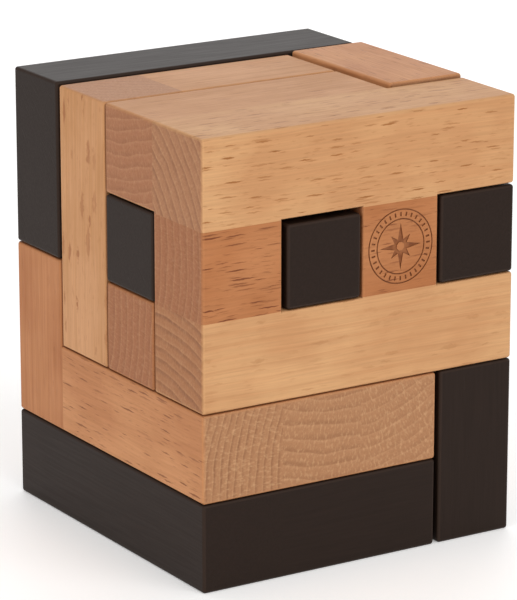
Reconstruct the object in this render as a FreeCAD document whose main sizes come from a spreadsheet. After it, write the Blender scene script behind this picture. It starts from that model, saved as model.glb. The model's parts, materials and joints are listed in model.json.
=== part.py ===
# Interlocking wooden block puzzle, millimetres, +Z up, front face towards -Y.
# The closed block is a grid of cells, 4 columns (X) by 4 rows (Y) by 5 layers (Z), filled by eight
# puzzle pieces. Each piece is glued up from square sticks, and each stick is a solid of its own.
# Origin: middle of the underside.
import FreeCAD, Part
import os

DIMENSIONS = {
    "column_pitch": (16.0, "width of one cell, along X"),
    "row_pitch": (16.2, "depth of one cell, along Y"),
    "layer_pitch": (16.0, "height of one cell, along Z"),
    "side_play": (0.3, "gap between two neighbouring pieces, side by side"),
    "seat_play": (0.12, "gap between two pieces, one above the other"),
    "edge_round": (0.55, "radius of the eased outer edges"),
    "comb_top_play": (0.15, "extra room above the comb"),
    "middle_finger_drop": (0.8, "how far the comb's middle finger lies below its spine"),
    "middle_finger_side_play": (0.75, "extra room to the left of the comb's middle finger"),
    "right_finger_side_play": (0.3, "extra room to the left of the comb's right finger"),
    "key_side_play": (0.45, "extra room to the left of the key's right-hand sticks"),
    "key_head_rise": (0.6, "how far the key's head stands above the top face"),
    "back_bar_rise": (0.35, "how far the back bar stands above the top face"),
    "back_bar_front_play": (0.5, "extra room in front of the back bar"),
    "back_bar_end_play": (1.1, "how far the back bar ends short of the right face"),
    "lock_side_play": (0.6, "extra room to the left of the corner lock"),
    "emblem_depth": (0.15, "depth of the burnt emblem"),
    "emblem_line": (0.24, "width of the emblem's ring lines"),
    "outer_ring_radius": (6.7, "outside radius of the emblem's outer ring"),
    "inner_ring_radius": (5.0, "outside radius of the emblem's inner ring"),
    "tick_length": (0.75, "radial length of a tick between the rings"),
    "tick_width": (0.32, "width of a tick"),
    "long_ray_length": (4.2, "reach of the star's four long rays"),
    "short_ray_length": (2.8, "reach of the star's four short rays"),
    "ray_root_width": (1.3, "width of a ray at the star's hub"),
    "ray_root_radius": (0.75, "distance of a ray's root from the emblem's middle"),
}
TICK_COUNT = 32
RAY_COUNT = 8

AXES = ("x", "y", "z")
PITCH = {"x": "column_pitch", "y": "row_pitch", "z": "layer_pitch"}
PLAY = {"x": "side_play", "y": "side_play", "z": "seat_play"}
CELL_COUNT = {"x": 4, "y": 4, "z": 5}
CELLS_BEFORE_ORIGIN = {"x": 2, "y": 2, "z": 0}

# Each puzzle piece: its sticks, with the first and last cell along X, Y and Z.
PIECES = {
    "front_frame": {
        "top_rail": ((0, 3), (0, 0), (4, 4)),
        "left_block": ((0, 0), (0, 0), (3, 3)),
        "emblem_block": ((2, 2), (0, 0), (3, 3)),
        "bottom_rail": ((0, 3), (0, 0), (2, 2)),
        "back_rail": ((0, 2), (1, 1), (4, 4)),
    },
    "comb": {
        "spine": ((0, 3), (1, 1), (3, 3)),
        "middle_finger": ((1, 1), (0, 0), (3, 3)),
        "right_finger": ((3, 3), (0, 0), (3, 3)),
        "rear_finger": ((1, 1), (2, 2), (3, 3)),
    },
    "key": {
        "bolt": ((0, 3), (1, 1), (2, 2)),
        "web": ((3, 3), (2, 2), (2, 3)),
        "head": ((3, 3), (1, 2), (4, 4)),
        "heel_block": ((3, 3), (3, 3), (3, 3)),
    },
    "core": {
        "left_post": ((0, 0), (2, 2), (2, 4)),
        "top_rail": ((1, 2), (2, 2), (4, 4)),
        "bottom_rail": ((1, 2), (2, 2), (2, 2)),
        "leg": ((1, 1), (2, 2), (0, 1)),
        "rear_rail": ((1, 3), (3, 3), (2, 2)),
        "rear_block": ((1, 1), (3, 3), (3, 3)),
    },
    "back_bar": {
        "rail": ((0, 3), (3, 3), (4, 4)),
        "left_block": ((0, 0), (3, 3), (3, 3)),
        "finger": ((2, 2), (2, 3), (3, 3)),
    },
    "tray": {
        "left_rail": ((0, 0), (0, 2), (1, 1)),
        "front_spacer": ((1, 1), (0, 1), (1, 1)),
        "right_rail": ((2, 2), (0, 3), (1, 1)),
        "rear_spacer": ((1, 1), (3, 3), (1, 1)),
        "post": ((0, 0), (3, 3), (1, 2)),
        "side_stick": ((3, 3), (1, 2), (1, 1)),
    },
    "base": {
        "left_rail": ((0, 0), (0, 3), (0, 0)),
        "front_stick": ((1, 2), (0, 0), (0, 0)),
        "middle_stick": ((1, 2), (1, 1), (0, 0)),
        "rear_stick": ((1, 2), (3, 3), (0, 0)),
        "corner_post": ((3, 3), (3, 3), (0, 1)),
    },
    "corner_lock": {
        "post": ((3, 3), (0, 0), (0, 1)),
        "sill": ((3, 3), (1, 2), (0, 0)),
        "tongue": ((2, 2), (2, 2), (0, 0)),
    },
}

# Outside faces that stand off the grid, outwards where the value is positive.
OUTSIDE_SHIFTS = {
    ("key_head", "z", "high"): "sheet.key_head_rise",
    ("back_bar_rail", "z", "high"): "sheet.back_bar_rise",
    ("back_bar_rail", "x", "high"): "-sheet.back_bar_end_play",
}

# Extra room beside a piece: the cells next to it, the side of them that it faces, and the extra.
LOOSE_FITS = {
    "comb": [
        (((0, 3), (0, 2), (4, 4)), ("z", "low"), "sheet.comb_top_play"),
        (((1, 1), (0, 0), (4, 4)), ("z", "low"), "sheet.comb_top_play + sheet.middle_finger_drop"),
        (((0, 0), (0, 0), (3, 3)), ("x", "high"), "sheet.middle_finger_side_play"),
        (((2, 2), (0, 0), (3, 3)), ("x", "high"), "sheet.right_finger_side_play"),
    ],
    "key": [(((2, 2), (2, 3), (2, 4)), ("x", "high"), "sheet.key_side_play"),
            (((2, 2), (1, 2), (4, 4)), ("x", "high"), "sheet.key_side_play")],
    "back_bar": [(((0, 3), (2, 2), (4, 4)), ("y", "high"), "sheet.back_bar_front_play"),
                 (((0, 0), (2, 2), (3, 3)), ("y", "high"), "sheet.back_bar_front_play")],
    "corner_lock": [(((2, 2), (0, 1), (0, 1)), ("x", "high"), "sheet.lock_side_play")],
}


def grid_box(name, spans, growth):
    """Box between grid lines, bound to the sheet; growth holds the expressions its faces move out by."""
    box = document.addObject("Part::Box", name)
    for axis, size, (first, last) in zip(AXES, ("Length", "Width", "Height"), spans):
        start = first - CELLS_BEFORE_ORIGIN[axis]
        low = growth.get((axis, "low"), "0")
        high = growth.get((axis, "high"), "0")
        box.setExpression(f"Placement.Base.{axis}", f"{start} * sheet.{PITCH[axis]} - ({low})")
        box.setExpression(size, f"{last + 1 - first} * sheet.{PITCH[axis]} + ({low}) + ({high})")
    return box


def blank(piece, name):
    """Square stick as sawn, before the play is taken off it."""
    node = f"{piece}_{name}"
    growth = {(axis, side): shift for (owner, axis, side), shift in OUTSIDE_SHIFTS.items() if owner == node}
    return grid_box(f"{node}_blank", PIECES[piece][name], growth)


def room(name, spans, extra):
    """Space kept clear for a neighbour: its cells and half the play round them, and on through the outside."""
    growth = {}
    for axis, (first, last) in zip(AXES, spans):
        outside = {"low": first == 0, "high": last + 1 == CELL_COUNT[axis]}
        for side in ("low", "high"):
            growth[axis, side] = f"sheet.{PITCH[axis]}" if outside[side] else f"sheet.{PLAY[axis]} / 2"
    for face, expression in extra.items():
        growth[face] += f" + {expression}"
    return grid_box(name, spans, growth)


def touches(spans, others):
    """True where a stick and another one share a face, an edge or a corner."""
    return all(low - 1 <= other_high and other_low <= high + 1
               for (low, high), (other_low, other_high) in zip(spans, others))


def fused(name, shapes):
    """Union of several objects."""
    union = document.addObject("Part::MultiFuse", name)
    union.Shapes = shapes
    union.Refine = True
    return union


def outer_edges(shape):
    """Numbers of the edges that stick out, which get eased.

    Inside corners stay sharp, and so does an edge that runs into a corner of more than three edges."""
    small_step = 1e-3
    numbers = []
    for number, edge in enumerate(shape.Edges, 1):
        if any(len(shape.ancestorsOfType(end, Part.Edge)) > 3 for end in edge.Vertexes):
            continue
        middle = edge.valueAt((edge.FirstParameter + edge.LastParameter) / 2)
        faces = shape.ancestorsOfType(edge, Part.Face)
        normals = [face.normalAt(*face.Surface.parameter(middle)) for face in faces]
        if not shape.isInside(middle + (normals[0] - normals[1]) * small_step, small_step / 10, False):
            numbers.append(number)
    return numbers


def neighbour_rooms(piece):
    """Rooms of every stick of another piece that touches this one, and the loose fits."""
    own = PIECES[piece].values()
    rooms = []
    for other, sticks in PIECES.items():
        for name, spans in sticks.items():
            if other != piece and any(touches(spans, stick) for stick in own):
                rooms.append(room(f"{piece}_clear_of_{other}_{name}", spans, {}))
    for number, (spans, face, extra) in enumerate(LOOSE_FITS.get(piece, [])):
        rooms.append(room(f"{piece}_loose_fit_{number}", spans, {face: extra}))
    return rooms


def glued_piece(piece):
    """Sticks glued up, play taken off, outer edges eased, then split back into the sticks."""
    blanks = {name: blank(piece, name) for name in PIECES[piece]}
    fitted = document.addObject("Part::Cut", f"{piece}_fitted")
    fitted.Base = fused(f"{piece}_glued", list(blanks.values()))
    fitted.Tool = fused(f"{piece}_surroundings", neighbour_rooms(piece))
    fitted.Refine = True
    document.recompute()
    eased = document.addObject("Part::Fillet", f"{piece}_eased")
    eased.Base = fitted
    radius = sheet.edge_round
    eased.Edges = [(number, radius, radius) for number in outer_edges(fitted.Shape)]
    sticks = []
    for name, stick_blank in blanks.items():
        stick = document.addObject("Part::Common", f"{piece}_{name}")
        stick.Base = eased
        stick.Tool = stick_blank
        sticks.append(stick)
    return sticks


def add(kind, name, **expressions):
    """New object with properties bound to spreadsheet expressions."""
    item = document.addObject(kind, name)
    for path, expression in expressions.items():
        item.setExpression(path.replace("__", "."), expression)
    return item


def ring(name, outside_radius):
    """Thin ring, lying flat."""
    disc = add("Part::Cylinder", f"{name}_disc", Radius=outside_radius, Height="sheet.emblem_depth")
    middle = add("Part::Cylinder", f"{name}_middle", Radius=f"{outside_radius} - sheet.emblem_line",
                 Height="sheet.emblem_depth")
    cut = document.addObject("Part::Cut", name)
    cut.Base = disc
    cut.Tool = middle
    return cut


def ray(number):
    """One pointed ray of the star, lying flat; long and short rays take turns."""
    length = "sheet.long_ray_length" if number % 2 == 0 else "sheet.short_ray_length"
    wedge = add("Part::Wedge", f"star_ray_{number}", Xmin="-sheet.ray_root_width / 2",
                Xmax="sheet.ray_root_width / 2", Ymin="sheet.ray_root_radius", Ymax=length,
                Zmax="sheet.emblem_depth", Zmin="0", X2min="0", X2max="0", Z2min="0",
                Z2max="sheet.emblem_depth")
    wedge.Placement.Rotation = FreeCAD.Rotation(FreeCAD.Vector(0, 0, 1), 360 * number / RAY_COUNT)
    return wedge


def tick(number):
    """One tick between the rings, lying flat."""
    angle = f"{number} * 360 / {TICK_COUNT}"
    start = "(sheet.outer_ring_radius - sheet.emblem_line + sheet.inner_ring_radius - sheet.tick_length) / 2"
    box = add("Part::Box", f"tick_{number}", Length="sheet.tick_length", Width="sheet.tick_width",
              Height="sheet.emblem_depth",
              Placement__Base__x=f"{start} * cos({angle}) + sheet.tick_width / 2 * sin({angle})",
              Placement__Base__y=f"{start} * sin({angle}) - sheet.tick_width / 2 * cos({angle})")
    box.Placement.Rotation = FreeCAD.Rotation(FreeCAD.Vector(0, 0, 1), number * 360 / TICK_COUNT)
    return box


def engrave(block):
    """Block with the emblem sunk into its front face: a star inside two rings with ticks between."""
    emblem = document.addObject("Part::MultiFuse", "emblem")
    emblem.Shapes = [ring("outer_ring", "sheet.outer_ring_radius"), ring("inner_ring", "sheet.inner_ring_radius")]
    emblem.Shapes += [tick(number) for number in range(TICK_COUNT)]
    emblem.Shapes += [ray(number) for number in range(RAY_COUNT)]
    (column, _), _, (layer, _) = PIECES["front_frame"]["emblem_block"]
    emblem.Placement.Rotation = FreeCAD.Rotation(FreeCAD.Vector(1, 0, 0), -90)
    emblem.setExpression("Placement.Base.x",
                         f"{column + 0.5 - CELLS_BEFORE_ORIGIN['x']} * sheet.column_pitch")
    emblem.setExpression("Placement.Base.y", f"-{CELLS_BEFORE_ORIGIN['y']} * sheet.row_pitch")
    emblem.setExpression("Placement.Base.z", f"{layer + 0.5} * sheet.layer_pitch")
    engraved = document.addObject("Part::Cut", "front_frame_emblem_block_engraved")
    engraved.Base = block
    engraved.Tool = emblem
    return engraved


document = FreeCAD.newDocument("block_puzzle")
sheet = document.addObject("Spreadsheet::Sheet", "sheet")
for row, (alias, (value, meaning)) in enumerate(DIMENSIONS.items(), 1):
    sheet.set(f"A{row}", alias)
    sheet.set(f"B{row}", str(value))
    sheet.set(f"C{row}", meaning)
    sheet.setAlias(f"B{row}", alias)
document.recompute()

nodes = {}
for piece in PIECES:
    for stick in glued_piece(piece):
        nodes[stick.Name] = stick
nodes["front_frame_emblem_block"] = engrave(nodes["front_frame_emblem_block"])
document.recompute()
for label, node in nodes.items():
    if node.Name != label:
        document.getObject(label).Label = f"{label}_plain"
    node.Label = label

for item in document.Objects:
    if "Invalid" in item.State or "Error" in item.State:
        raise RuntimeError(f"{item.Name} failed: {item.State}")
for label, node in nodes.items():
    if node.Shape.isNull() or not node.Shape.isValid() or len(node.Shape.Solids) != 1:
        raise RuntimeError(f"{label} is not one valid solid")

os.makedirs("parts", exist_ok=True)
for label, node in nodes.items():
    node.Shape.exportStep(f"parts/{label}.step")
print(len(nodes), "sticks in", len(PIECES), "pieces")
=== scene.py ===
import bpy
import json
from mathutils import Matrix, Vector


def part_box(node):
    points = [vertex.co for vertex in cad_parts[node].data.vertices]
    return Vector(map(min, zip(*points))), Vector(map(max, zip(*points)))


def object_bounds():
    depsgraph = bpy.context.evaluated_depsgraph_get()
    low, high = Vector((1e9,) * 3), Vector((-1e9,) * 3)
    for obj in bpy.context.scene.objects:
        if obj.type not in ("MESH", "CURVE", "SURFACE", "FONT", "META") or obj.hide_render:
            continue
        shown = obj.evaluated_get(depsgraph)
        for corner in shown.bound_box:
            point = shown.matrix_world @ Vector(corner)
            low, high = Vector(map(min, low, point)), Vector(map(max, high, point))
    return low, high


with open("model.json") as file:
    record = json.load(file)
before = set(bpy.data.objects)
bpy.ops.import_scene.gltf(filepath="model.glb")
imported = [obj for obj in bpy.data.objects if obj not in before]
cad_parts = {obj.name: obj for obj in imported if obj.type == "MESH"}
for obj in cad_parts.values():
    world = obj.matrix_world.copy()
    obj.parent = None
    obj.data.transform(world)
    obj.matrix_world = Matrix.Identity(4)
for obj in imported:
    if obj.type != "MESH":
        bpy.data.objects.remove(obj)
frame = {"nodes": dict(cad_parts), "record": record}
cadBox = [list(corner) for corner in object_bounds()]

import json
import math
import bmesh
import bpy
from mathutils import Vector

mm = 0.001


def srgb(code):
    # hex colour to the linear values that the shaders want
    parts = [int(code[i:i + 2], 16) / 255 for i in (1, 3, 5)]
    return [c / 12.92 if c <= 0.04045 else ((c + 0.055) / 1.055) ** 2.4 for c in parts] + [1]


def addNode(tree, kind, inputs=None, **settings):
    # settings are the node's properties; an input is a value, a socket or a node (its first live output).
    # Sockets go by name or number: a colour mix has its share at 0 and its colours at 6 and 7, and a map
    # range has its value at 0, the range it reads at 1 and 2, and the range it gives at 3 and 4.
    node = tree.nodes.new(kind)
    for name, value in settings.items():
        setattr(node, name, value)
    for socket, value in (inputs or {}).items():
        if isinstance(value, bpy.types.Node):
            value = next(output for output in value.outputs if output.enabled)
        if isinstance(value, bpy.types.NodeSocket):
            tree.links.new(value, node.inputs[socket])
        else:
            node.inputs[socket].default_value = value
    return node


# Beech, planed, sanded and oiled. To the eye: a fine even wood with a soft sheen. Its rays are short
# brown dashes where a face runs with the rings, and paler hatching across the rings on the ends.
# Lengths in threes are mm along the grain, round the tree and out from the pith. A pair with "Edges" in
# its name is where a noise pattern starts to count and where it counts in full.
beech = {
    "fleck": (5.5, 0.42, 8.0),      # room that a ray takes up
    "fleckSize": (0.15, 0.5),       # smallest and largest ray, as a share of that room
    "fleckCore": 0.55,              # share of a ray that has its full colour
    "faintest": 0.15,               # strength of the palest ray
    "fleckCover": 0.95,             # how fully a ray's colour covers the wood
    "fineFleck": (2.4, 0.3, 5.0),   # room for each of the small rays between the large ones
    "fineCover": 0.3,
    "fineSeed": 7,                  # keeps their pattern clear of the large ones'
    "frays": 1.1,                   # nicks per mm of a ray's outline
    "ragged": (0.2, 0.7, 0.1),      # how far the outline strays, as shares of the ray's room
    "sideRays": 0.3,                # how strongly rays show on a face that lies along them
    "ringWidth": 2.1,               # mm from one year's ring to the next
    "ringWander": 0.25,             # share of a ring's width that its line strays
    "ringWaves": (60, 5, 3),        # from one wave of the line to the next
    "ringCover": 0.45,              # how strongly rings show on a long face
    "lateWood": (0.5, 0.9, 0.93),   # shares of a year: the line starts, is full, and starts to end
    "lateEdges": (0.3, 0.65),
    "lateLeast": 0.2,               # what is left of the line where it fades
    "earlyWood": (0.02, 0.3),       # shares of a year: palest, and pale no more
    "earlyPale": 0.14,              # how much paler the early wood is on an end
    "hatch": (8, 0.45, 0.9),        # size of the rays seen on an end
    "hatchEdges": (0.5, 0.72),
    "hatchCover": 0.15,             # how strongly they show, unless the stick has its own share
    "hatchColour": "#D4A87C",
    "streak": (14, 0.35, 0.35),     # a streak of vessels, drawn coarser than life to show
    "streakEdges": (0.3, 0.7),
    "streakShade": (0.93, 1.06),    # brightness along the vessels, and beside them
    "cloud": 17,                    # mm across a patch of slow colour change
    "cloudEdges": (0.35, 0.65),
    "wander": 1.1,                  # mm that the grain strays from straight
    "waves": (45, 14),              # mm from one bend of the grain to the next: along it and across it
    "ior": 1.53,
    "specular": 0.16,               # the oil fills the surface, which dulls it
    "roughness": (0.44, 0.56),      # beside the open vessels, and along them
    "bump": 0.04,                   # mm
    "rayDepth": 0.6,                # a ray's depth as a share of a vessel's
}
# The same beech under black water stain and a thin satin lacquer. To the eye: warm near black, with
# the grain only just showing, brown where the stain is thin on the rounded edges.
blackStain = {
    "base": "#271C16",
    "streak": "#2B1F19",            # beside the vessels, where less stain soaked in
    "streakEdges": (0.35, 0.75),
    "edge": "#46362D",
    "ior": 1.45,
    "specular": 0.12,
    "roughness": (0.4, 0.48),
    "bump": 0.012,
    "rayDepth": 0.8,
}
# body colours, ray flecks, and the darker sawn ends with their rings
tones = {
    "golden": {"pale": "#D2A171", "deep": "#C59062", "fleck": "#99602F", "end": "#A66F48", "ring": "#7E4E33"},
    "rosy": {"pale": "#BB7D50", "deep": "#AB6B3F", "fleck": "#763F22", "end": "#A06642", "ring": "#80502F"},
    "warm": {"pale": "#CB8F60", "deep": "#BB7D50", "fleck": "#8A5230", "end": "#AC7B56", "ring": "#85573A"},
    "tan": {"pale": "#CA9468", "deep": "#BD8657", "fleck": "#995E36", "end": "#A46C49", "ring": "#7F5034"},
    "fair": {"pale": "#CC9669", "deep": "#BF8857", "fleck": "#9E6136", "end": "#AF7A54", "ring": "#976443"},
}
# Each stick of natural beech: its tone, where the tree's pith lay, in mm from the stick's middle on the
# two axes across its grain, how strongly the flecks and rings show, and what else it has of its own.
sticks = {
    "front_frame_top_rail": {"tone": "golden", "pith": (44, -36), "flecks": 1.0, "rings": 0.6,
                             "end": "#A97551"},
    "front_frame_left_block": {"tone": "rosy", "pith": (60, 4), "flecks": 1.2, "rings": 0.4,
                               "fleck": (6.5, 0.36, 8.0), "fleckSize": (0.22, 0.55)},
    "front_frame_emblem_block": {"tone": "rosy", "pith": (52, -8), "flecks": 0.8, "rings": 0.5},
    "front_frame_bottom_rail": {"tone": "golden", "pith": (8, -38), "flecks": 0.9, "rings": 0.7},
    "front_frame_back_rail": {"tone": "tan", "pith": (12, 60), "flecks": 0.6, "rings": 0.3},
    "key_bolt": {"tone": "rosy", "pith": (48, 6), "flecks": 0.8, "rings": 0.4},
    "key_head": {"tone": "warm", "pith": (10, -50), "flecks": 0.7, "rings": 0.4},
    "core_left_post": {"tone": "fair", "pith": (30, 40), "flecks": 1.0, "rings": 0.3,
                       "fleck": (8.0, 1.5, 3.2), "fleckSize": (0.1, 0.55)},
    "core_top_rail": {"tone": "tan", "pith": (-30, 44), "flecks": 0.6, "rings": 0.5},
    "tray_left_rail": {"tone": "warm", "pith": (46, -6), "flecks": 1.0, "rings": 0.7, "ringWidth": 1.4,
                       "hatchCover": 0.4},
    "tray_front_spacer": {"tone": "warm", "pith": (6, 42), "flecks": 0.7, "rings": 0.45, "ringWidth": 2.4,
                          "hatchCover": 0.4},
    "tray_right_rail": {"tone": "warm", "pith": (-14, 40), "flecks": 0.7, "rings": 0.25, "hatchCover": 0.4},
    "tray_post": {"tone": "rosy", "pith": (8, 56), "flecks": 0.5, "rings": 0.5},
}
plainStick = {"tone": "tan", "pith": (36, 34), "flecks": 0.8, "rings": 0.5}
# blocks one cell long keep the grain of the rail or bar that they are sawn from, not their longest side
shortBlocks = {
    "front_frame_left_block": 0, "front_frame_emblem_block": 0, "comb_middle_finger": 1,
    "comb_right_finger": 1, "comb_rear_finger": 1, "key_heel_block": 1, "core_rear_block": 1,
    "back_bar_left_block": 0, "tray_rear_spacer": 0, "corner_lock_tongue": 0,
}
# cosines, where a face starts to count and counts in full: as a sawn end, as an eased edge, and as one
# that cuts the rays
faceTurns = {"end": (0.55, 0.9), "eased": (0.9995, 0.97), "cut": (0.25, 0.5)}
# the eased edges: paler where they are free, as wear and a painted highlight, and painted shade where they
# meet another piece
seam = {
    # colour of the painted shade in the seams
    "colour": "#6A3716",
    "wear": 0.3,            # how much paler a free edge gets: rubbed by hands, and a painted highlight
    "grime": 0.85,          # how dark the painted shade in a seam gets
    "reach": 0.9,           # mm: a piece nearer than this shelters the edge
    "open": (0.85, 0.5),    # share of open air round the edge where the painted shade starts, and where it is full
    "samples": 6,
}
# compass star burnt into the front by laser: brown, a little uneven
emblem = {
    "node": "front_frame_emblem_block",
    "char": "#7C4626",
    "depth": 0.06,          # mm down where the char is full
    "start": 0.3,           # share of that depth where the char starts
    "radius": 7.2,          # mm
    "patch": 1.6,           # mm across a weaker patch
    "patchEdges": (0.35, 0.6),
    "weakest": 0.55,        # how much char is left in one
}
seedStep = 3.7              # keeps one stick's patterns clear of the next one's


def grainAxis(node):
    low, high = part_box(node)
    sizes = list(high - low)
    return shortBlocks.get(node, sizes.index(max(sizes)))


def grainSpace(tree, node, seed):
    # where a point lies in the tree, in mm: along the grain, round the pith and out from it
    low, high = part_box(node)
    middle = (low + high) / 2 / mm
    axis = grainAxis(node)
    across = [i for i in range(3) if i != axis]
    pith = sticks.get(node, plainStick)["pith"]
    coords = addNode(tree, "ShaderNodeTexCoord")
    place = addNode(tree, "ShaderNodeVectorMath", {0: coords.outputs["Object"], "Scale": 1 / mm},
                    operation="SCALE")
    waveAlong, waveAcross = beech["waves"]
    stretch = [1 / waveAcross] * 3
    stretch[axis] = 1 / waveAlong
    waves = addNode(tree, "ShaderNodeMapping", {"Vector": place, "Scale": stretch,
                    "Location": (seed, 0, seed)})
    noise = addNode(tree, "ShaderNodeTexNoise", {"Vector": waves, "Scale": 1, "Detail": 2})
    stray = addNode(tree, "ShaderNodeVectorMath", {0: noise.outputs["Color"], 1: (0.5, 0.5, 0.5)},
                    operation="SUBTRACT")
    bent = addNode(tree, "ShaderNodeVectorMath", {0: stray, 1: [2 * beech["wander"]] * 3, 2: place},
                   operation="MULTIPLY_ADD")
    fromPith = addNode(tree, "ShaderNodeVectorMath", {0: bent, 1: (middle[0], middle[1], middle[2])},
                       operation="SUBTRACT")
    split = addNode(tree, "ShaderNodeSeparateXYZ", {0: fromPith})
    sides = [addNode(tree, "ShaderNodeMath", {0: split.outputs[i], 1: offset}, operation="SUBTRACT")
             for i, offset in zip(across, pith)]
    flat = addNode(tree, "ShaderNodeCombineXYZ", {0: sides[0], 1: sides[1]})
    radius = addNode(tree, "ShaderNodeVectorMath", {0: flat}, operation="LENGTH")
    # the angle starts from the stick's own side of the pith, so it never jumps inside the stick
    turned = addNode(tree, "ShaderNodeVectorRotate", {"Vector": flat, "Axis": (0, 0, 1),
                     "Angle": -math.atan2(-pith[1], -pith[0])}, rotation_type="AXIS_ANGLE")
    turnedSides = addNode(tree, "ShaderNodeSeparateXYZ", {0: turned})
    angle = addNode(tree, "ShaderNodeMath", {0: turnedSides.outputs[1], 1: turnedSides.outputs[0]},
                    operation="ARCTAN2")
    around = addNode(tree, "ShaderNodeMath", {0: angle, 1: math.hypot(*pith)}, operation="MULTIPLY")
    along = split.outputs[axis]
    return {"coords": coords, "place": place, "along": along, "around": around, "radius": radius}


def inGrain(tree, space, lengths, seed=0.0):
    # grain space with each direction divided by its own length in mm
    sides = (space["along"], space["around"], space["radius"])
    scaled = [addNode(tree, "ShaderNodeMath", {0: side, 1: 1 / length, 2: seed}, operation="MULTIPLY_ADD")
              for side, length in zip(sides, lengths)]
    return addNode(tree, "ShaderNodeCombineXYZ", {0: scaled[0], 1: scaled[1], 2: scaled[2]})


def rayFlecks(tree, space, room, seed, size=beech["fleckSize"]):
    # rays are thin plates along the grain and towards the pith, so a face shows them as dashes or patches
    fray = addNode(tree, "ShaderNodeTexNoise", {"Vector": space["place"], "Scale": beech["frays"],
                   "Detail": 3})
    frayed = addNode(tree, "ShaderNodeVectorMath", {0: fray.outputs["Color"], 1: beech["ragged"],
                     2: inGrain(tree, space, room, seed)}, operation="MULTIPLY_ADD")
    cells = addNode(tree, "ShaderNodeTexVoronoi", {"Vector": frayed, "Scale": 1, "Exponent": 1.5},
                    distance="MINKOWSKI")
    pick = addNode(tree, "ShaderNodeSeparateColor", {0: cells.outputs["Color"]})
    reach = addNode(tree, "ShaderNodeMapRange", {0: pick.outputs[0], 3: size[0], 4: size[1]})
    core = addNode(tree, "ShaderNodeMath", {0: reach, 1: beech["fleckCore"]}, operation="MULTIPLY")
    mask = addNode(tree, "ShaderNodeMapRange", {0: cells.outputs["Distance"], 1: reach, 2: core},
                   interpolation_type="SMOOTHSTEP")
    shade = addNode(tree, "ShaderNodeMapRange", {0: pick.outputs[1], 3: beech["faintest"]})
    return addNode(tree, "ShaderNodeMath", {0: mask, 1: shade}, operation="MULTIPLY")


def vesselStreaks(tree, space):
    return addNode(tree, "ShaderNodeTexNoise", {"Vector": inGrain(tree, space, beech["streak"]), "Scale": 1,
                   "Detail": 2})


def faceMasks(tree, space, axis):
    # how squarely a face looks along the grain, and whether the surface is an eased edge there
    split = addNode(tree, "ShaderNodeSeparateXYZ", {0: space["coords"].outputs["Normal"]})
    sizes = [addNode(tree, "ShaderNodeMath", {0: split.outputs[i]}, operation="ABSOLUTE") for i in range(3)]
    start, full = faceTurns["end"]
    end = addNode(tree, "ShaderNodeMapRange", {0: sizes[axis], 1: start, 2: full})
    most = addNode(tree, "ShaderNodeMath", {0: sizes[0], 1: sizes[1]}, operation="MAXIMUM")
    most = addNode(tree, "ShaderNodeMath", {0: most, 1: sizes[2]}, operation="MAXIMUM")
    start, full = faceTurns["eased"]
    eased = addNode(tree, "ShaderNodeMapRange", {0: most, 1: start, 2: full})
    return end, eased


def cutsRays(tree, space, axis, pith):
    # full where a face looks towards the pith or away from it, and faint where it lies along the rays
    outwards = [0, 0, 0]
    for i, offset in zip([i for i in range(3) if i != axis], pith):
        outwards[i] = offset / math.hypot(*pith)
    look = addNode(tree, "ShaderNodeVectorMath", {0: space["coords"].outputs["Normal"], 1: outwards},
                   operation="DOT_PRODUCT")
    squarely = addNode(tree, "ShaderNodeMath", {0: look}, operation="ABSOLUTE")
    start, full = faceTurns["cut"]
    return addNode(tree, "ShaderNodeMapRange", {0: squarely, 1: start, 2: full, 3: beech["sideRays"]})


def yearRings(tree, space, ringWidth, seed):
    # each ring starts pale and darkens outwards to a late line that wanders and comes and goes
    wander = addNode(tree, "ShaderNodeTexNoise", {"Vector": inGrain(tree, space, beech["ringWaves"], seed),
                     "Scale": 1, "Detail": 3})
    count = addNode(tree, "ShaderNodeMath", {0: space["radius"], 1: 1 / ringWidth, 2: seed},
                    operation="MULTIPLY_ADD")
    count = addNode(tree, "ShaderNodeMath", {0: wander, 1: 2 * beech["ringWander"], 2: count},
                    operation="MULTIPLY_ADD")
    year = addNode(tree, "ShaderNodeMath", {0: count}, operation="FRACT")
    start, full, end = beech["lateWood"]
    rise = addNode(tree, "ShaderNodeMapRange", {0: year, 1: start, 2: full}, interpolation_type="SMOOTHSTEP")
    fall = addNode(tree, "ShaderNodeMapRange", {0: year, 1: 1.0, 2: end})
    line = addNode(tree, "ShaderNodeMath", {0: rise, 1: fall}, operation="MULTIPLY")
    start, full = beech["lateEdges"]
    share = addNode(tree, "ShaderNodeMapRange", {0: wander.outputs["Color"], 1: start, 2: full,
                    3: beech["lateLeast"]})
    late = addNode(tree, "ShaderNodeMath", {0: line, 1: share}, operation="MULTIPLY")
    palest, end = beech["earlyWood"]
    early = addNode(tree, "ShaderNodeMapRange", {0: year, 1: palest, 2: end, 3: 1.0, 4: 0.0},
                    interpolation_type="SMOOTHSTEP")
    return late, early


def sawnEnd(tree, space, tone, stick, late, early, seed):
    # an end shows the rings crossed by pale hatching where the rays run out from the pith
    hatch = addNode(tree, "ShaderNodeTexNoise", {"Vector": inGrain(tree, space, beech["hatch"], seed),
                    "Scale": 1, "Detail": 2})
    start, full = beech["hatchEdges"]
    rays = addNode(tree, "ShaderNodeMapRange", {0: hatch, 1: start, 2: full,
                   4: stick.get("hatchCover", beech["hatchCover"])})
    pale = addNode(tree, "ShaderNodeMath", {0: early, 1: beech["earlyPale"], 2: rays},
                   operation="MULTIPLY_ADD", use_clamp=True)
    dark = addNode(tree, "ShaderNodeMath", {0: late, 1: stick["rings"]}, operation="MULTIPLY")
    face = addNode(tree, "ShaderNodeMix", {0: dark, 6: srgb(stick.get("end", tone["end"])),
                   7: srgb(tone["ring"])}, data_type="RGBA")
    return addNode(tree, "ShaderNodeMix", {0: pale, 6: face, 7: srgb(beech["hatchColour"])}, data_type="RGBA")


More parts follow.
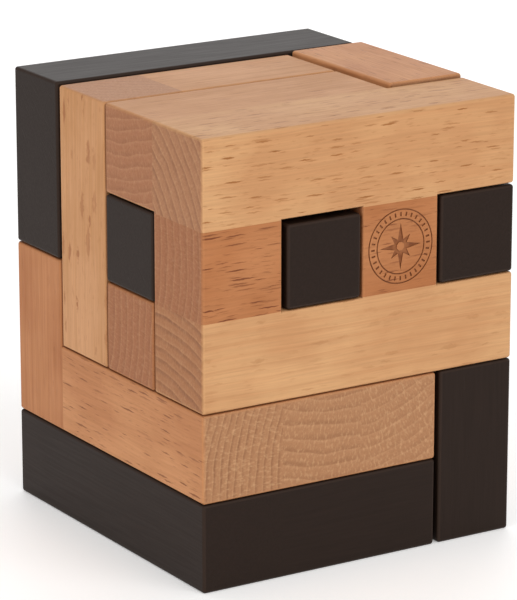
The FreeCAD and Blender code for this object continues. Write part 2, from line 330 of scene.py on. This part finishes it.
def planedFace(tree, space, tone, stick, late, rays, fine, cut, seed):
    # a long face: slow change of colour, faint rings, then the flecks over it
    cloud = addNode(tree, "ShaderNodeTexNoise", {"Vector": space["place"], "Scale": 1 / beech["cloud"],
                    "Detail": 3, "W": seed}, noise_dimensions="4D")
    start, full = beech["cloudEdges"]
    change = addNode(tree, "ShaderNodeMapRange", {0: cloud, 1: start, 2: full})
    ringed = addNode(tree, "ShaderNodeMath", {0: late, 1: beech["ringCover"], 2: change},
                     operation="MULTIPLY_ADD", use_clamp=True)
    face = addNode(tree, "ShaderNodeMix", {0: ringed, 6: srgb(tone["pale"]), 7: srgb(tone["deep"])},
                   data_type="RGBA")
    for marks, most in ((fine, beech["fineCover"]), (rays, beech["fleckCover"])):
        shown = addNode(tree, "ShaderNodeMath", {0: marks, 1: cut}, operation="MULTIPLY")
        cover = addNode(tree, "ShaderNodeMath", {0: shown, 1: most * stick["flecks"]}, operation="MULTIPLY",
                        use_clamp=True)
        face = addNode(tree, "ShaderNodeMix", {0: cover, 6: face, 7: srgb(tone["fleck"])}, data_type="RGBA")
    return face


def burnt(tree, wood, place):
    # the floor and walls of the emblem's grooves are charred
    low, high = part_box(emblem["node"])
    middle = (low + high) / 2 / mm
    face = low[1] / mm
    depth = emblem["depth"]
    split = addNode(tree, "ShaderNodeSeparateXYZ", {0: place})
    sunk = addNode(tree, "ShaderNodeMapRange", {0: split.outputs[1], 1: face + depth * emblem["start"],
                   2: face + depth})
    offset = addNode(tree, "ShaderNodeVectorMath", {0: place, 1: (middle[0], 0, middle[2])},
                     operation="SUBTRACT")
    planar = addNode(tree, "ShaderNodeVectorMath", {0: offset, 1: (1, 0, 1)}, operation="MULTIPLY")
    distance = addNode(tree, "ShaderNodeVectorMath", {0: planar}, operation="LENGTH")
    inside = addNode(tree, "ShaderNodeMath", {0: distance, 1: emblem["radius"]}, operation="LESS_THAN")
    charred = addNode(tree, "ShaderNodeMath", {0: sunk, 1: inside}, operation="MULTIPLY")
    patches = addNode(tree, "ShaderNodeTexNoise", {"Vector": place, "Scale": 1 / emblem["patch"],
                      "Detail": 2})
    start, full = emblem["patchEdges"]
    strength = addNode(tree, "ShaderNodeMapRange", {0: patches, 1: start, 2: full, 3: emblem["weakest"]})
    charred = addNode(tree, "ShaderNodeMath", {0: charred, 1: strength}, operation="MULTIPLY")
    return addNode(tree, "ShaderNodeMix", {0: charred, 6: wood, 7: srgb(emblem["char"])}, data_type="RGBA")


def newMaterial(name):
    material = bpy.data.materials.new(name)
    material.use_nodes = True
    material.node_tree.nodes.clear()
    return material


def easedEdge(tree, wood, eased, wornAndHighlightColour, seamShadeColour):
    # free edges are made paler, as wear rubbed by hands and as a painted highlight, and edges that meet
    # another piece are darkened with painted shade
    shelter = addNode(tree, "ShaderNodeAmbientOcclusion", {"Distance": seam["reach"] * mm},
                      samples=seam["samples"])
    start, full = seam["open"]
    shut = addNode(tree, "ShaderNodeMapRange", {0: shelter.outputs["AO"], 1: start, 2: full})
    # wear and painted highlight: free eased edges are mixed towards a paler colour
    wornAndHighlight = addNode(tree, "ShaderNodeMath", {0: eased, 1: seam["wear"]}, operation="MULTIPLY")
    wood = addNode(tree, "ShaderNodeMix", {0: wornAndHighlight, 6: wood, 7: srgb(wornAndHighlightColour)}, data_type="RGBA")
    # painted shade: edges with another piece close by are mixed towards the dark seam colour
    grime = addNode(tree, "ShaderNodeMath", {0: shut, 1: eased}, operation="MULTIPLY")
    grime = addNode(tree, "ShaderNodeMath", {0: grime, 1: seam["grime"]}, operation="MULTIPLY")
    return addNode(tree, "ShaderNodeMix", {0: grime, 6: wood, 7: srgb(seamShadeColour)}, data_type="RGBA")


def finishSurface(tree, look, colour, streaks, rays):
    # the vessels are fine open grooves and the rays stand a little lower than the wood round them
    hollows = addNode(tree, "ShaderNodeMath", {0: rays, 1: -look["rayDepth"], 2: streaks},
                      operation="MULTIPLY_ADD")
    bump = addNode(tree, "ShaderNodeBump", {"Height": hollows, "Distance": look["bump"] * mm})
    smooth, rough = look["roughness"]
    start, full = beech["streakEdges"]
    roughness = addNode(tree, "ShaderNodeMapRange", {0: streaks, 1: start, 2: full, 3: rough, 4: smooth})
    shader = addNode(tree, "ShaderNodeBsdfPrincipled", {"Base Color": colour, "Roughness": roughness,
                     "IOR": look["ior"], "Specular IOR Level": look["specular"], "Normal": bump})
    addNode(tree, "ShaderNodeOutputMaterial", {0: shader})


def sandedOiledBeech(node, seed):
    material = newMaterial("sandedOiledBeech_" + node)
    tree = material.node_tree
    stick = sticks.get(node, plainStick)
    tone = tones[stick["tone"]]
    space = grainSpace(tree, node, seed)
    end, eased = faceMasks(tree, space, grainAxis(node))
    late, early = yearRings(tree, space, stick.get("ringWidth", beech["ringWidth"]), seed)
    rays = rayFlecks(tree, space, stick.get("fleck", beech["fleck"]), seed,
                     stick.get("fleckSize", beech["fleckSize"]))
    fine = rayFlecks(tree, space, beech["fineFleck"], seed + beech["fineSeed"])
    streaks = vesselStreaks(tree, space)
    cut = cutsRays(tree, space, grainAxis(node), stick["pith"])
    planed = planedFace(tree, space, tone, stick, late, rays, fine, cut, seed)
    sawn = sawnEnd(tree, space, tone, stick, late, early, seed)
    wood = addNode(tree, "ShaderNodeMix", {0: end, 6: planed, 7: sawn}, data_type="RGBA")
    start, full = beech["streakEdges"]
    darkest, brightest = beech["streakShade"]
    shade = addNode(tree, "ShaderNodeMapRange", {0: streaks, 1: start, 2: full, 3: darkest, 4: brightest})
    wood = addNode(tree, "ShaderNodeHueSaturation", {"Color": wood, "Value": shade})
    # free edges turn towards the pale tone as wear and painted highlight, and sheltered edges turn towards
    # the seam colour as painted shade
    wood = easedEdge(tree, wood, eased, tone["pale"], seam["colour"])
    if node == emblem["node"]:
        wood = burnt(tree, wood, space["place"])
    finishSurface(tree, beech, wood, streaks, rays)
    return material


def blackStainedBeech(node, seed):
    material = newMaterial("blackStainedBeech_" + node)
    tree = material.node_tree
    space = grainSpace(tree, node, seed)
    eased = faceMasks(tree, space, grainAxis(node))[1]
    rays = rayFlecks(tree, space, beech["fleck"], seed)
    streaks = vesselStreaks(tree, space)
    start, full = blackStain["streakEdges"]
    grain = addNode(tree, "ShaderNodeMapRange", {0: streaks, 1: start, 2: full})
    wood = addNode(tree, "ShaderNodeMix", {0: grain, 6: srgb(blackStain["base"]),
                   7: srgb(blackStain["streak"])}, data_type="RGBA")
    # free edges turn brown where the stain is thin, and sheltered edges turn towards the base colour as
    # painted shade
    wood = easedEdge(tree, wood, eased, blackStain["edge"], blackStain["base"])
    finishSurface(tree, blackStain, wood, streaks, rays)
    return material


slotOf = {part["node"]: part["material_slot"] for part in frame["record"]["subparts"]}
for number, (name, piece) in enumerate(sorted(frame["nodes"].items())):
    finish = blackStainedBeech if slotOf[name] == "black_stained_beech" else sandedOiledBeech
    piece.data.materials.clear()
    piece.data.materials.append(finish(name, seedStep * number))
print("materials:", len(frame["nodes"]), "sticks")

# Plain floor of opal white acrylic, cast and matt, on a light table. To the eye: even white with hardly
# a shadow, and it lights the lower faces a little from below.
floorLook = {"size": 6.0, "colour": "#FBFAF9", "roughness": 0.6, "glow": 0.25}
floorMesh = bpy.data.meshes.new("floor")
shape = bmesh.new()
bmesh.ops.create_grid(shape, x_segments=1, y_segments=1, size=floorLook["size"] / 2)
shape.to_mesh(floorMesh)
shape.free()
floor = bpy.data.objects.new("floor", floorMesh)
bpy.context.collection.objects.link(floor)
floorPaint = bpy.data.materials.new("castOpalAcrylic")
floorPaint.use_nodes = True
floorShader = floorPaint.node_tree.nodes["Principled BSDF"]
floorShader.inputs["Base Color"].default_value = srgb(floorLook["colour"])
floorShader.inputs["Roughness"].default_value = floorLook["roughness"]
floorShader.inputs["Emission Color"].default_value = srgb(floorLook["colour"])
floorShader.inputs["Emission Strength"].default_value = floorLook["glow"]
floorMesh.materials.append(floorPaint)
print("floor ready")

# soft studio light: a white room, and big soft boxes aimed at the middle of the object
whiteRoom = {"colour": "#FFFFFF", "strength": 0.5}
softBoxes = {
    "key": {"azimuth": 8, "elevation": 42, "distance": 1.1, "size": 0.9, "power": 4.7},
    "side": {"azimuth": -75, "elevation": 30, "distance": 1.2, "size": 0.9, "power": 3.3},
    "top": {"azimuth": 160, "elevation": 60, "distance": 1.1, "size": 1.0, "power": 1.2},
    "back": {"azimuth": 148, "elevation": 20, "distance": 1.2, "size": 1.0, "power": 2.8},
}
world = bpy.data.worlds.new("whiteRoom")
world.use_nodes = True
backdrop = world.node_tree.nodes["Background"]
backdrop.inputs["Color"].default_value = srgb(whiteRoom["colour"])
backdrop.inputs["Strength"].default_value = whiteRoom["strength"]
bpy.context.scene.world = world

centre = (Vector(cadBox[0]) + Vector(cadBox[1])) / 2


def direction(azimuth, elevation):
    # azimuth 0 is in front, and it grows to the right
    a, e = math.radians(azimuth), math.radians(elevation)
    return Vector((math.sin(a) * math.cos(e), -math.cos(a) * math.cos(e), math.sin(e)))


for name, box in softBoxes.items():
    light = bpy.data.lights.new(name + "Box", "AREA")
    light.shape = "SQUARE"
    light.size = box["size"]
    light.energy = box["power"]
    lamp = bpy.data.objects.new(name + "Box", light)
    bpy.context.collection.objects.link(lamp)
    outwards = direction(box["azimuth"], box["elevation"])
    lamp.location = centre + outwards * box["distance"]
    lamp.rotation_euler = outwards.to_track_quat("Z", "Y").to_euler()
print("lights:", len(softBoxes))

cameraSet = {
    "azimuth": -32.16,
    "elevation": 16.05,
    "distance": 0.665,
    "lens": 222.1,          # mm, as the sensor is
    "sensor": 36,
    "nearest": 0.05,
    "aim": (-0.00049, 0.00012, -0.00057),   # metres from the middle of the object
}
camera = bpy.data.objects.new("camera", bpy.data.cameras.new("camera"))
bpy.context.collection.objects.link(camera)
camera.data.lens = cameraSet["lens"]
camera.data.sensor_width = cameraSet["sensor"]
camera.data.clip_start = cameraSet["nearest"]
outwards = direction(cameraSet["azimuth"], cameraSet["elevation"])
camera.location = centre + Vector(cameraSet["aim"]) + outwards * cameraSet["distance"]
camera.rotation_euler = outwards.to_track_quat("Z", "Y").to_euler()
bpy.context.scene.camera = camera
bpy.context.scene.view_settings.view_transform = "Standard"
print("camera set")
